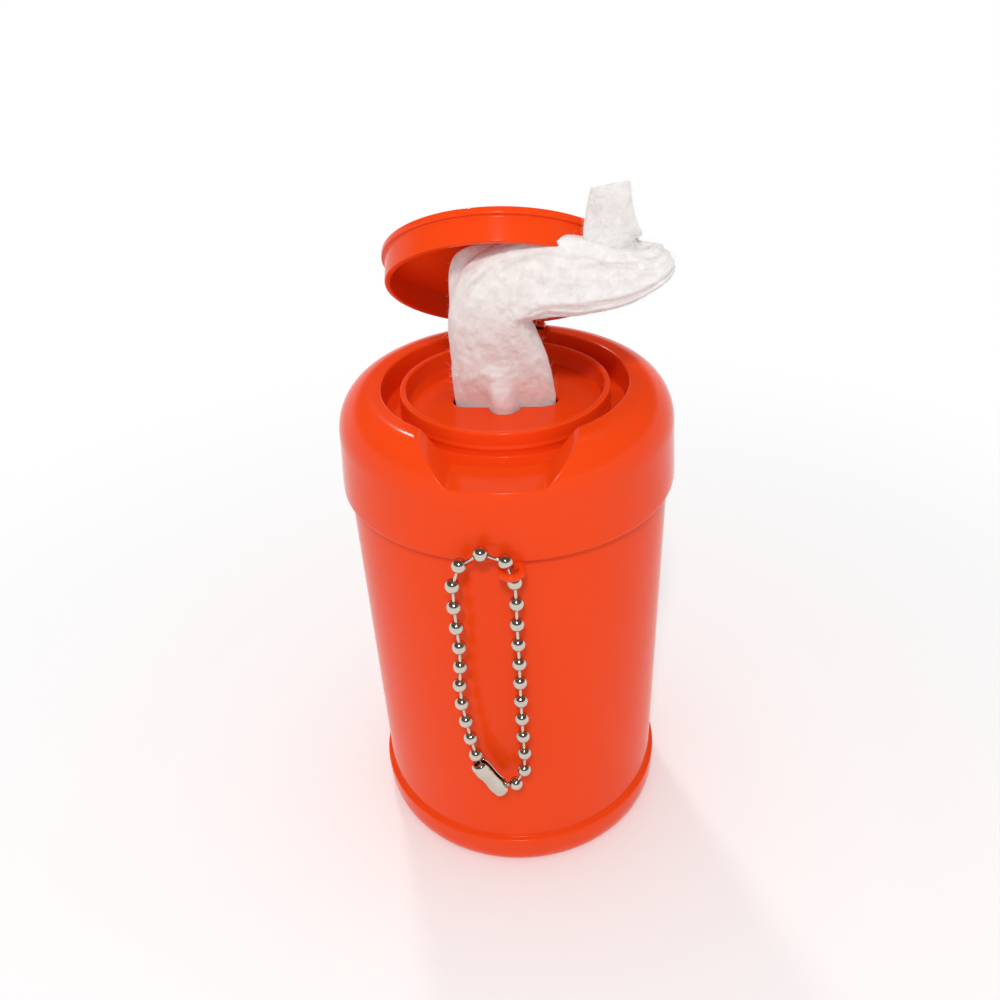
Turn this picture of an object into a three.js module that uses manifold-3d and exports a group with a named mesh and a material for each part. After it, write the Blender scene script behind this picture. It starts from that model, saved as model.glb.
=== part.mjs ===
// A pocket wipes canister: a blown cup, a press-fit closure with a flip lid on a living hinge,
// a coreless roll inside, one wipe pulled out through the slit, and a ball chain through a lug.
// Millimetres. +Z is up, the origin is the centre of the flat base, the thumb notch faces -Y.
import * as THREE from "three";
import { mergeVertices } from "three/addons/utils/BufferGeometryUtils.js";
import Module from "manifold-3d";

const wasm = await Module();
wasm.setup();

// Cup
const CUP_INSIDE_SKIRT = 0.6;
const CUP_TAPER = 0.7;
const CUP_WALL = 1.3;
const CUP_FLOOR = 1.6;
const CUP_INNER_ROUND = 1.5;
const CUP_LEDGE_HEIGHT = 71.2;
const FOOT_RING_PROUD = 0.9;
const FOOT_RING_HEIGHT = 6.1;
const FOOT_ROUND_WIDTH = 1.4;
const FOOT_ROUND_HEIGHT = 3.9;
const NECK_HEIGHT = 8.8;
const SKIRT_SIDE_GAP = 0.6;
const SNAP_RIDGE = 0.25;
const SNAP_RIDGE_RISE = 4.6;

// Closure
const CLOSURE_RADIUS = 28;
const SKIRT_FLARE = 0.5;
const SKIRT_WALL = 1.2;
const SKIRT_SEAT_GAP = 0.4;
const SHOULDER_START = 10.2;
const SHOULDER_RISE = 6.9;
const CREST_RADIUS = 22.2;
const MOAT_RADIUS = 20.3;
const MOAT_DEPTH = 4.9;
const COLLAR_OUTER = 17.4;
const COLLAR_WALL = 1.0;
const COLLAR_BELOW_CREST = 0.7;
const PANEL_RECESS = 3.1;
const DECK_WALL = 1.2;
const SLIT_LENGTH = 17.5;
const SLIT_WIDTH = 5.2;
const SLIT_CROSS_WIDTH = 5;
const SLIT_CROSS_REACH = 5.2;

// Thumb notch in the crest and shoulder
const NOTCH_FLOOR_WIDTH = 14.4;
const NOTCH_CHAMFER = 2;
const NOTCH_TOP_WIDTH = 24;

// Hinge land at the rear
const LAND_WIDTH = 12.6;
const LAND_REAR = 27.6;
const LAND_BELOW_CREST = 1.5;

// Lid
const LID_PLATE_RADIUS = 19.5;
const LID_PLATE_THICKNESS = 1.2;
const LID_COLLAR_GAP = 0.3;
const LID_SIDE_GAP = 0.6;
const LID_SKIRT_WALL = 0.9;
const LID_FLOOR_GAP = 0.6;
const STRAP_WIDTH = 12;
const STRAP_GAP = 0.3;
const HINGE_Y = 27.0;
const LID_OPEN_DEGREES = 40.5;

// Lug for the chain
const LUG_X = 2;
const LUG_OUTER = 2.1;
const LUG_HOLE = 1.0;
const LUG_THICKNESS = 1.0;
const LUG_DROP = 0.35;

// Ball chain
const BEAD_RADIUS = 1.2;
const BEAD_HOLE_RADIUS = 0.5;
const BEAD_HOLE_DEPTH = 0.45;
const BEAD_COUNT = 27;
const SWING_DEGREES = 50;
const SWING_BEADS = [1, 24];
const LINK_RADIUS = 0.24;
const LINK_END_GAP = 0.12;
const CHAIN_SURFACE_GAP = 0.4;
const CONNECTOR_BEAD_COUNT = 13;
const CONNECTOR_RADIUS = 1.6;
const CONNECTOR_WALL = 0.25;
const CONNECTOR_END = 0.8;
const CONNECTOR_OVERHANG = 0.9;
const CONNECTOR_SLOT = 0.8;

// Roll and wipe
const ROLL_NECK_GAP = 0.5;
const ROLL_CORE_RADIUS = 5;
const ROLL_HEIGHT = 58;
const ROLL_TURNS = 7;
const ROLL_TURN_GAP = 0.45;
const ROLL_FLOOR_GAP = 0.3;
const WIPE_SLIT_GAP = 0.35;
const WIPE_BELOW_PANEL = 2.2;

const FACET_COUNT = 48;
const BEAD_FACET_COUNT = 9;

// Places that follow from the sizes above
const CUP_RADIUS_HIGH = CLOSURE_RADIUS - CUP_INSIDE_SKIRT;
const CUP_RADIUS_LOW = CUP_RADIUS_HIGH - CUP_TAPER;
const SKIRT_BOTTOM = CUP_LEDGE_HEIGHT + SKIRT_SEAT_GAP;
const SHOULDER_Z = SKIRT_BOTTOM + SHOULDER_START - SKIRT_SEAT_GAP;
const CREST_Z = SHOULDER_Z + SHOULDER_RISE;
const MOAT_Z = CREST_Z - MOAT_DEPTH;
const COLLAR_Z = CREST_Z - COLLAR_BELOW_CREST;
const COLLAR_INNER = COLLAR_OUTER - COLLAR_WALL;
const PANEL_Z = COLLAR_Z - PANEL_RECESS;
const SKIRT_INNER = CLOSURE_RADIUS - SKIRT_WALL;
const NECK_RADIUS = SKIRT_INNER - SKIRT_SIDE_GAP;
const NECK_TOP = CUP_LEDGE_HEIGHT + NECK_HEIGHT;
const NECK_INNER = NECK_RADIUS - CUP_WALL;
const LAND_Z = CREST_Z - LAND_BELOW_CREST;
const LID_UNDERSIDE_Z = COLLAR_Z + LID_COLLAR_GAP;
const LID_TOP_Z = LID_UNDERSIDE_Z + LID_PLATE_THICKNESS;
const LID_SKIRT_INNER = COLLAR_OUTER + LID_SIDE_GAP;
const LID_SKIRT_OUTER = LID_SKIRT_INNER + LID_SKIRT_WALL;
const LID_SKIRT_Z = MOAT_Z + LID_FLOOR_GAP;
const STRAP_Z = LAND_Z + STRAP_GAP;
const HINGE_Z = STRAP_Z;
const LUG_Z = SKIRT_BOTTOM - LUG_DROP;
const CHAIN_Y = -(CLOSURE_RADIUS + SKIRT_FLARE + BEAD_RADIUS + CHAIN_SURFACE_GAP);

// Centre line of the chain in its hanging plane, as x and z from the lug, clockwise from just below it
const CHAIN_ROUTE = [
  [0.4, -1.95],
  [0.5, -9.85],
  [0.6, -17.65],
  [0.6, -25.65],
  [0.7, -33.85],
  [0.8, -40.85],
  [0.2, -44.75],
  [-2.8, -47.25],
  [-5.4, -44.65],
  [-7.2, -40.05],
  [-8.3, -33.65],
  [-9.2, -24.65],
  [-8.7, -16.65],
  [-9, -7.75],
  [-8.8, -1.65],
  [-7.1, 1.95],
  [-3.8, 3.35],
  [-0.8, 1.85],
];

const plastic = new THREE.MeshStandardMaterial({ color: 0xe8401a, roughness: 0.28, metalness: 0 });
const fabric = new THREE.MeshStandardMaterial({ color: 0xf0e6e0, roughness: 0.95, metalness: 0 });
const nickel = new THREE.MeshStandardMaterial({ color: 0xc9c4ba, roughness: 0.2, metalness: 1 });

// A geometry as a solid that can be joined and cut
function solid(geometry) {
  const bare = geometry.clone();
  for (const name of Object.keys(bare.attributes)) if (name !== "position") bare.deleteAttribute(name);
  const merged = mergeVertices(bare, 1e-4);
  return new wasm.Manifold(
    new wasm.Mesh({
      numProp: 3,
      vertProperties: new Float32Array(merged.attributes.position.array),
      triVerts: new Uint32Array(merged.index.array),
    }),
  );
}

function geometryOf(made) {
  const mesh = made.getMesh();
  return new THREE.BufferGeometry()
    .setAttribute("position", new THREE.BufferAttribute(new Float32Array(mesh.vertProperties), 3))
    .setIndex(new THREE.BufferAttribute(new Uint32Array(mesh.triVerts), 1));
}

function named(name, geometry, material) {
  geometry.computeVertexNormals();
  const mesh = new THREE.Mesh(geometry, material);
  mesh.name = name;
  return mesh;
}

// A profile of [radius, height] points turned about +Z; the profile runs counter-clockwise
function turned(profile, around = FACET_COUNT) {
  const points = profile.map(([radius, height]) => new THREE.Vector2(radius, height));
  return new THREE.LatheGeometry(points, around).rotateX(Math.PI / 2);
}

// Points of a quarter ellipse about [radius, height], between two angles in degrees
function arc(radius, height, width, rise, from, to, steps) {
  return Array.from({ length: steps + 1 }, (_, i) => {
    const angle = THREE.MathUtils.degToRad(from + ((to - from) * i) / steps);
    return [radius + width * Math.cos(angle), height + rise * Math.sin(angle)];
  });
}

// A flat outline of [x, y] points raised between two heights
function raised(outline, low, high) {
  const shape = new THREE.Shape(outline.map(([x, y]) => new THREE.Vector2(x, y)));
  return new THREE.ExtrudeGeometry(shape, { depth: high - low, bevelEnabled: false }).translate(0, 0, low);
}

// An outline of [x, z] points carried along y between two places
function carried(outline, near, far) {
  const shape = new THREE.Shape(outline.map(([x, z]) => new THREE.Vector2(x, z)));
  const geometry = new THREE.ExtrudeGeometry(shape, { depth: far - near, bevelEnabled: false });
  return geometry.rotateX(Math.PI / 2).translate(0, far, 0);
}

// Rings of an equal number of points joined in order, with both ends closed
function lofted(rings) {
  const count = rings[0].length;
  const positions = [];
  const push = (...corners) => corners.forEach((corner) => positions.push(corner.x, corner.y, corner.z));
  for (let i = 0; i + 1 < rings.length; i++) {
    for (let k = 0; k < count; k++) {
      const next = (k + 1) % count;
      push(rings[i][k], rings[i][next], rings[i + 1][next]);
      push(rings[i][k], rings[i + 1][next], rings[i + 1][k]);
    }
  }
  for (const [ring, turn] of [[rings[0], false], [rings.at(-1), true]]) {
    const middle = ring.reduce((sum, point) => sum.add(point), new THREE.Vector3()).divideScalar(count);
    for (let k = 0; k < count; k++) {
      const next = (k + 1) % count;
      if (turn) push(middle, ring[k], ring[next]);
      else push(middle, ring[next], ring[k]);
    }
  }
  const geometry = new THREE.BufferGeometry();
  return geometry.setAttribute("position", new THREE.BufferAttribute(new Float32Array(positions), 3));
}

function cup() {
  const footRadius = CUP_RADIUS_LOW + FOOT_RING_PROUD;
  const inner = CUP_RADIUS_LOW - CUP_WALL;
  const ridgeZ = CUP_LEDGE_HEIGHT + SNAP_RIDGE_RISE;
  const profile = [
    [0, 0],
    ...arc(footRadius - FOOT_ROUND_WIDTH, FOOT_ROUND_HEIGHT, FOOT_ROUND_WIDTH, FOOT_ROUND_HEIGHT, -90, 0, 5),
    [footRadius, FOOT_RING_HEIGHT],
    [CUP_RADIUS_LOW, FOOT_RING_HEIGHT + 0.4],
    [CUP_RADIUS_HIGH, CUP_LEDGE_HEIGHT - 0.5],
    [CUP_RADIUS_HIGH - 0.3, CUP_LEDGE_HEIGHT],
    [NECK_RADIUS, CUP_LEDGE_HEIGHT],
    [NECK_RADIUS, ridgeZ - 0.8],
    [NECK_RADIUS + SNAP_RIDGE, ridgeZ],
    [NECK_RADIUS, ridgeZ + 1],
    [NECK_RADIUS, NECK_TOP - 0.5],
    [NECK_RADIUS - 0.4, NECK_TOP],
    [NECK_INNER + 0.3, NECK_TOP],
    [NECK_INNER, NECK_TOP - 0.4],
    [NECK_INNER, CUP_LEDGE_HEIGHT - CUP_WALL],
    [CUP_RADIUS_HIGH - CUP_WALL, CUP_LEDGE_HEIGHT - 2 * CUP_WALL],
    [inner, FOOT_RING_HEIGHT],
    ...arc(inner - CUP_INNER_ROUND, CUP_FLOOR + CUP_INNER_ROUND, CUP_INNER_ROUND, CUP_INNER_ROUND, 0, -90, 3),
    [0, CUP_FLOOR],
  ];
  return named("canister_cup", turned(profile), plastic);
}

// The notch seen from the front; grow moves its faces out by a wall into the plastic
function notchOutline(grow) {
  const floor = NOTCH_FLOOR_WIDTH / 2 + grow * 0.4;
  const side = floor + NOTCH_CHAMFER + grow * 0.4;
  const top = NOTCH_TOP_WIDTH / 2 + grow;
  const low = MOAT_Z - grow;
  const high = CREST_Z + 5;
  const slope = (top - side) / (CREST_Z - MOAT_Z - NOTCH_CHAMFER);
  return [
    [-floor, low],
    [floor, low],
    [side, low + NOTCH_CHAMFER],
    [top + slope * 5, high],
    [-top - slope * 5, high],
    [-side, low + NOTCH_CHAMFER],
  ];
}

function shell() {
  const shoulder = (inset, from, to) =>
    arc(CREST_RADIUS, SHOULDER_Z, CLOSURE_RADIUS - CREST_RADIUS - inset, SHOULDER_RISE - inset, from, to, 8);
  const outside = [
    [0, SKIRT_BOTTOM],
    [CLOSURE_RADIUS + SKIRT_FLARE - 0.3, SKIRT_BOTTOM],
    [CLOSURE_RADIUS + SKIRT_FLARE, SKIRT_BOTTOM + 0.4],
    ...shoulder(0, 0, 90),
    [MOAT_RADIUS + 0.6, CREST_Z],
    [MOAT_RADIUS + 0.1, CREST_Z - 0.5],
    [MOAT_RADIUS, MOAT_Z],
    [COLLAR_OUTER, MOAT_Z],
    [COLLAR_OUTER, MOAT_Z + 1.0],
    [COLLAR_OUTER + 0.12, MOAT_Z + 1.5],
    [COLLAR_OUTER, MOAT_Z + 2.0],
    [COLLAR_OUTER, COLLAR_Z - 0.3],
    [COLLAR_OUTER - 0.3, COLLAR_Z],
    [COLLAR_INNER + 0.3, COLLAR_Z],
    [COLLAR_INNER, COLLAR_Z - 0.3],
    [COLLAR_INNER - 0.4, PANEL_Z],
    [0, PANEL_Z],
  ];
  const roof = MOAT_Z - DECK_WALL;
  const inside = [
    [0, SKIRT_BOTTOM - 1],
    [SKIRT_INNER, SKIRT_BOTTOM - 1],
    [SKIRT_INNER, SKIRT_BOTTOM + SNAP_RIDGE_RISE - 2.2],
    [SKIRT_INNER - 0.15, SKIRT_BOTTOM + SNAP_RIDGE_RISE - 1.6],
    [SKIRT_INNER, SKIRT_BOTTOM + SNAP_RIDGE_RISE - 1],
    ...shoulder(SKIRT_WALL, 0, 90),
    [MOAT_RADIUS + SKIRT_WALL, CREST_Z - SKIRT_WALL],
    [MOAT_RADIUS + SKIRT_WALL, roof],
    [COLLAR_OUTER, roof],
    [COLLAR_INNER - DECK_WALL, PANEL_Z - DECK_WALL],
    [0, PANEL_Z - DECK_WALL],
  ];
  const notch = solid(carried(notchOutline(0), -CLOSURE_RADIUS - 2, -COLLAR_OUTER - 0.5));
  const notchWall = solid(carried(notchOutline(SKIRT_WALL), -CLOSURE_RADIUS - 2, -COLLAR_OUTER));
  const half = LAND_WIDTH / 2;
  const rearCut = [[-half, LAND_Z], [half, LAND_Z], [half, CREST_Z + 5], [-half, CREST_Z + 5]];
  const rearWall = [
    [-half - SKIRT_WALL, LAND_Z - SKIRT_WALL],
    [half + SKIRT_WALL, LAND_Z - SKIRT_WALL],
    [half + SKIRT_WALL, CREST_Z + 5],
    [-half - SKIRT_WALL, CREST_Z + 5],
  ];
  const saddle = solid(carried(rearCut, COLLAR_OUTER + 0.5, CLOSURE_RADIUS + 2));
  const saddleWall = solid(carried(rearWall, COLLAR_OUTER + 0.5, CLOSURE_RADIUS + 2));
  const land = solid(
    raised(
      [[-half, CREST_RADIUS], [half, CREST_RADIUS], [half, LAND_REAR - 1], [half - 1, LAND_REAR],
        [1 - half, LAND_REAR], [-half, LAND_REAR - 1]],
      SHOULDER_Z + 1,
      LAND_Z,
    ),
  );
  const hollow = solid(turned(inside)).subtract(notchWall).subtract(saddleWall);
  return solid(turned(outside)).add(land).subtract(notch).subtract(saddle).subtract(hollow);
}

// The slit in the panel: a wide slot with a short one across it, round at the four ends
function slit() {
  const slot = (length, width, turn) => {
    const reach = (length - width) / 2;
    const ends = [[1, -90], [-1, 90]].flatMap(([side, from]) =>
      arc(side * reach, 0, width / 2, width / 2, from, from + 180, 6));
    return solid(raised(ends, PANEL_Z - 5, PANEL_Z + 2).rotateZ(turn));
  };
  return slot(SLIT_LENGTH, SLIT_WIDTH, 0).add(slot(2 * SLIT_CROSS_REACH, SLIT_CROSS_WIDTH, Math.PI / 2));
}

// The flat eye moulded on the skirt's lower edge, which the chain passes through
function lug() {
  const rear = -CLOSURE_RADIUS + 0.3;
  const tip = CHAIN_Y;
  const outline = [
    [LUG_X - LUG_OUTER, rear],
    ...arc(LUG_X, tip, LUG_OUTER, LUG_OUTER, 180, 360, 8),
    [LUG_X + LUG_OUTER, rear],
  ];
  const low = LUG_Z - LUG_THICKNESS / 2;
  const eye = solid(raised(outline, low, low + LUG_THICKNESS));
  const hole = solid(raised(arc(LUG_X, tip, LUG_HOLE, LUG_HOLE, 0, 330, 11), low - 1, low + LUG_THICKNESS + 1));
  return eye.subtract(hole);
}

function closure() {
  return named("closure", geometryOf(shell().subtract(slit()).add(lug())), plastic);
}

// The lid, drawn shut and then turned open about its hinge
function lid() {
  const cap = [
    [0, LID_UNDERSIDE_Z],
    [LID_SKIRT_INNER, LID_UNDERSIDE_Z],
    [LID_SKIRT_INNER, LID_SKIRT_Z + 0.3],
    [LID_SKIRT_INNER + 0.2, LID_SKIRT_Z],
    [LID_SKIRT_OUTER - 0.2, LID_SKIRT_Z],
    [LID_SKIRT_OUTER, LID_SKIRT_Z + 0.3],
    [LID_SKIRT_OUTER, LID_UNDERSIDE_Z],
    [LID_PLATE_RADIUS, LID_UNDERSIDE_Z + 0.1],
    [LID_PLATE_RADIUS, LID_TOP_Z - 0.4],
    [LID_PLATE_RADIUS - 0.4, LID_TOP_Z],
    [0, LID_TOP_Z],
  ];
  const half = STRAP_WIDTH / 2;
  const strap = raised(
    [[-half, LID_SKIRT_OUTER - 1.2], [half, LID_SKIRT_OUTER - 1.2], [half, HINGE_Y], [-half, HINGE_Y]],
    STRAP_Z,
    LID_TOP_Z - 0.2,
  );
  const well = solid(turned([[0, 0], [LID_SKIRT_INNER, 0], [LID_SKIRT_INNER, LID_UNDERSIDE_Z], [0, LID_UNDERSIDE_Z]]));
  const made = solid(turned(cap)).add(solid(strap).subtract(well));
  const mesh = named("flip_lid", geometryOf(made).translate(0, -HINGE_Y, -HINGE_Z), plastic);
  const hinge = new THREE.Group();
  hinge.position.set(0, HINGE_Y, HINGE_Z);
  hinge.rotation.x = -THREE.MathUtils.degToRad(LID_OPEN_DEGREES);
  hinge.add(mesh);
  return hinge;
}

// A coreless roll: one long sheet in turns, as a spiral wall
function roll() {
  const outer = NECK_INNER - ROLL_NECK_GAP;
  const pitch = (outer - ROLL_CORE_RADIUS) / ROLL_TURNS;
  const steps = ROLL_TURNS * 18;
  const spiral = (offset) => Array.from({ length: steps + 1 }, (_, i) => {
    const turn = (i / steps) * (ROLL_TURNS - 1);
    const radius = ROLL_CORE_RADIUS + offset + turn * pitch;
    return [radius * Math.cos(2 * Math.PI * turn), radius * Math.sin(2 * Math.PI * turn)];
  });
  const outline = [...spiral(pitch - ROLL_TURN_GAP), ...spiral(0).reverse()];
  const low = CUP_FLOOR + ROLL_FLOOR_GAP;
  return named("wipes_roll", raised(outline, low, low + ROLL_HEIGHT), fabric);
}

// The wipe pulled out: a bunched stem in the slit, an arm that folds over to +X, and a raised tail
function wipe() {
  const around = 14;
  const ring = ([x, y, z], across, deep) => Array.from({ length: around }, (_, k) => {
    const angle = (2 * Math.PI * k) / around;
    return new THREE.Vector3(x, y, z)
      .addScaledVector(across, Math.cos(angle))
      .addScaledVector(deep, Math.sin(angle));
  });
  const level = (width) => new THREE.Vector3(width, 0, 0);
  const depth = (width) => new THREE.Vector3(0, width, 0);
  const tilted = (width, degrees) => {
    const angle = THREE.MathUtils.degToRad(degrees);
    return new THREE.Vector3(width * Math.cos(angle), 0, width * Math.sin(angle));
  };
  const neck = SLIT_WIDTH / 2 - WIPE_SLIT_GAP;
  const half = SLIT_LENGTH / 2 - WIPE_SLIT_GAP;
  const arm = [
    ring([0, 0, PANEL_Z - WIPE_BELOW_PANEL], level(half * 0.93), depth(neck * 0.8)),
    ring([0, 0, PANEL_Z + 0.6], level(half * 0.97), depth(neck * 0.9)),
    ring([-0.3, -0.4, PANEL_Z + 5], level(7.6), depth(3.6)),
    ring([-0.9, -1.2, PANEL_Z + 10], level(6.8), depth(3.8)),
    ring([-1.6, -2.6, PANEL_Z + 15.4], tilted(6.4, -12), depth(3.6)),
    ring([0.4, -4.4, PANEL_Z + 19.5], tilted(6.0, -50), depth(3.4)),
    ring([5.6, -5.6, PANEL_Z + 21.3], tilted(5.2, -82), depth(3.0)),
    ring([13, -6.4, PANEL_Z + 21], tilted(4.6, -93), depth(2.8)),
    ring([20.5, -7, PANEL_Z + 22.6], tilted(3.2, -70), depth(2.4)),
    ring([25.4, -7.4, PANEL_Z + 24.8], tilted(1.4, -60), depth(1.2)),
  ];
  const tail = [
    ring([16, -6.8, PANEL_Z + 21.5], level(3.4), depth(1.6)),
    ring([17.4, -7.2, PANEL_Z + 26], level(3.6), depth(1.3)),
    ring([17.4, -7.8, PANEL_Z + 31], level(2.8), depth(1.1)),
    ring([16.8, -8.4, PANEL_Z + 36], level(2.1), depth(0.8)),
  ];
  return named("wipe", geometryOf(solid(lofted(arm)).add(solid(lofted(tail)))), fabric);
}

// Where each bead sits: equal steps along the chain's closed centre line
function beadPlaces() {
  const points = CHAIN_ROUTE.map(([x, z]) => new THREE.Vector3(LUG_X + x, CHAIN_Y, LUG_Z + z));
  const route = new THREE.CatmullRomCurve3(points, true, "centripetal");
  route.arcLengthDivisions = 600;
  return Array.from({ length: BEAD_COUNT }, (_, i) => route.getPointAt(i / BEAD_COUNT));
}

// A ball with a hole towards each neighbour, where the links enter it. The two beads that the
// loop swings from have the hole below drawn out forwards, by as much as the loop can swing.
function bead(name, place, before, after, swings) {
  const ball = turned(arc(0, 0, BEAD_RADIUS, BEAD_RADIUS, -90, 90, 7), BEAD_FACET_COUNT);
  const floor = BEAD_RADIUS - BEAD_HOLE_DEPTH;
  const turns = swings ? [0, 0.25, 0.5, 0.75, 1].map((share) => share * SWING_DEGREES) : [];
  const below = before.z < after.z ? before : after;
  const outward = new THREE.Vector3(-1, 0, 0);
  const ways = [before, after].map((neighbour) => neighbour.clone().sub(place).normalize());
  const hanging = below.clone().sub(place).normalize();
  ways.push(...turns.map((turn) => hanging.clone().applyAxisAngle(outward, THREE.MathUtils.degToRad(turn))));
  const made = ways.reduce((left, towards) => {
    const hole = new THREE.CylinderGeometry(BEAD_HOLE_RADIUS, BEAD_HOLE_RADIUS, BEAD_RADIUS, 7);
    hole.translate(0, floor + BEAD_RADIUS / 2, 0);
    hole.applyQuaternion(new THREE.Quaternion().setFromUnitVectors(new THREE.Vector3(0, 1, 0), towards));
    return left.subtract(solid(hole));
  }, solid(ball));
  const mesh = named(name, geometryOf(made), nickel);
  mesh.position.copy(place);
  return mesh;
}

function link(name, from, to) {
  const along = to.clone().sub(from);
  const end = BEAD_RADIUS - BEAD_HOLE_DEPTH + LINK_END_GAP;
  const geometry = new THREE.CylinderGeometry(LINK_RADIUS, LINK_RADIUS, along.length() - 2 * end, 6);
  const mesh = named(name, geometry, nickel);
  mesh.quaternion.setFromUnitVectors(new THREE.Vector3(0, 1, 0), along.clone().normalize());
  mesh.position.copy(from).add(to).multiplyScalar(0.5);
  return mesh;
}

// The rolled sleeve round the chain's two end beads, slotted towards the bead that comes before
function connector(before, first, second) {
  const along = second.clone().sub(first);
  const reach = along.length() / 2 + BEAD_RADIUS + CONNECTOR_OVERHANG;
  const closing = CONNECTOR_RADIUS - CONNECTOR_END;
  const round = (radius, length) => [
    [0, -length],
    [CONNECTOR_END, -length],
    ...arc(radius - closing, closing - length, closing, closing, -60, 0, 2),
    ...arc(radius - closing, length - closing, closing, closing, 0, 60, 2),
    [CONNECTOR_END, length],
    [0, length],
  ];
  const outer = solid(turned(round(CONNECTOR_RADIUS, reach), 16));
  const bore = solid(turned(round(CONNECTOR_RADIUS - CONNECTOR_WALL, reach - CONNECTOR_WALL), 16));
  const slot = solid(
    new THREE.BoxGeometry(CONNECTOR_RADIUS, CONNECTOR_SLOT, 4 * reach).translate(CONNECTOR_RADIUS / 2, 0, 0),
  );
  const mesh = named("chain_connector", geometryOf(outer.subtract(bore).subtract(slot)), nickel);
  const up = along.clone().normalize();
  const side = before.clone().sub(first);
  side.addScaledVector(up, -side.dot(up)).normalize();
  mesh.quaternion.setFromRotationMatrix(new THREE.Matrix4().makeBasis(side, up.clone().cross(side), up));
  mesh.position.copy(first).add(second).multiplyScalar(0.5);
  return mesh;
}

function chain() {
  const group = new THREE.Group();
  const places = beadPlaces();
  const sleeve = CONNECTOR_BEAD_COUNT - 1;
  places.forEach((place, i) => {
    const after = places[(i + 1) % BEAD_COUNT];
    const number = String(i + 1).padStart(2, "0");
    group.add(bead("chain_bead_" + number, place, places.at(i - 1), after, SWING_BEADS.includes(i + 1)));
    if (i !== sleeve) group.add(link("chain_link_" + number, place, after));
  });
  group.add(connector(places[sleeve - 1], places[sleeve], places[sleeve + 1]));
  return group;
}

const canister = new THREE.Group();
canister.add(cup(), closure(), lid(), roll(), wipe(), chain());

export default canister;
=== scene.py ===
"""Pocket wipes canister in Blender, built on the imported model's frame.

Sizes are in millimetres. The objects are in metres, with Z up and the front towards -Y.
"""

import math

import bmesh
import bpy
import numpy as np
from mathutils import Matrix, Vector, noise


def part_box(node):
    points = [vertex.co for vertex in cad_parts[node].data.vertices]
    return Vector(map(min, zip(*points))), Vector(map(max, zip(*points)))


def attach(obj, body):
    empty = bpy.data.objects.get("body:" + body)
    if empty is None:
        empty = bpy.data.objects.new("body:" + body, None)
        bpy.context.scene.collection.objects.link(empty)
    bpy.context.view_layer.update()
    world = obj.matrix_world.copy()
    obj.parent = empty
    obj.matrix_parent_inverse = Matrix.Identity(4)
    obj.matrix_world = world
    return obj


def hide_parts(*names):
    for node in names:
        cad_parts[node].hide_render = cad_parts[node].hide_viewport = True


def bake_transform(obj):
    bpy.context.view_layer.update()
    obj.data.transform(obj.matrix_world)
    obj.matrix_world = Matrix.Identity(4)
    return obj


MM = 0.001
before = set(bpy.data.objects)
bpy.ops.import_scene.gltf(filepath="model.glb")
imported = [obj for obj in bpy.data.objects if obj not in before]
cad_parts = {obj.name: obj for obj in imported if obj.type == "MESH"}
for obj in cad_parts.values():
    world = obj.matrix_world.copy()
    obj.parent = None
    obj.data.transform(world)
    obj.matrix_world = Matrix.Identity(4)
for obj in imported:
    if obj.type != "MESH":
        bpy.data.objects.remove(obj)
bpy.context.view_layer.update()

# Sizes of the cup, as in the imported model
CUP_LOW, CUP_HIGH, CUP_WALL, CUP_FLOOR, LEDGE_Z = 26.7, 27.4, 1.3, 1.6, 71.2
FOOT_RADIUS, FOOT_TOP, FOOT_ROUND, FOOT_ROUND_HIGH, BASE_RECESS = 27.6, 6.1, 1.4, 3.9, 0.5
NECK_RADIUS, NECK_TOP, RIDGE_Z, RIDGE = 26.2, 80.0, 75.8, 0.25

# Sizes of the closure
SKIRT_Z, SKIRT_RADIUS, SKIRT_FLARE, WALL = 71.6, 28.0, 0.5, 1.2
SHOULDER_Z, CREST_Z, CREST_RADIUS, SHOULDER_WIDE = 81.4, 88.3, 22.2, 5.8
SHOULDER_HIGH = CREST_Z - SHOULDER_Z
MOAT_RADIUS, MOAT_Z = 20.3, 83.4
COLLAR_OUTER, COLLAR_INNER, COLLAR_Z, COLLAR_RIDGE = 17.4, 16.4, 87.6, 0.16
PANEL_Z, PANEL_FLAT_RADIUS = 84.5, 13.5
SLIT_HALF, SLIT_HALF_WIDTH, CROSS_HALF, CROSS_HALF_WIDTH = 8.75, 2.6, 5.2, 2.5
NOTCH_HALF, NOTCH_SLOPE, NOTCH_SOFT = 7.2, 1.02, 0.5
LAND_HALF, LAND_Z, LAND_FRONT, LAND_BACK, SADDLE_SLOPE = 6.3, 86.8, 23.2, 27.6, 6
LUG_X, CHAIN_Y, LUG_Z = 2.0, -30.1, 71.25
LUG_RADIUS, LUG_HOLE, LUG_HALF, LUG_SOFT, LUG_ROOT, LUG_ROOT_SLOPE = 2.1, 1.0, 0.5, 0.18, 2.4, 3.4

# Sizes of the lid, as it lies when shut
LID_RADIUS, LID_SKIRT_OUTER, LID_SKIRT_INNER = 19.5, 18.9, 18.0
LID_TOP, LID_UNDER, LID_SKIRT_Z = 89.1, 87.9, 84.0
HINGE_X, HINGE_Y, HINGE_Z = 0.0, 27.0, 87.1
STRAP_HALF, STRAP_FRONT, STRAP_BACK, STRAP_TOP, WEB_RADIUS = 6, 18.7, 26.9, 88.9, 0.32
LID_OPEN = math.radians(40.5)

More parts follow.
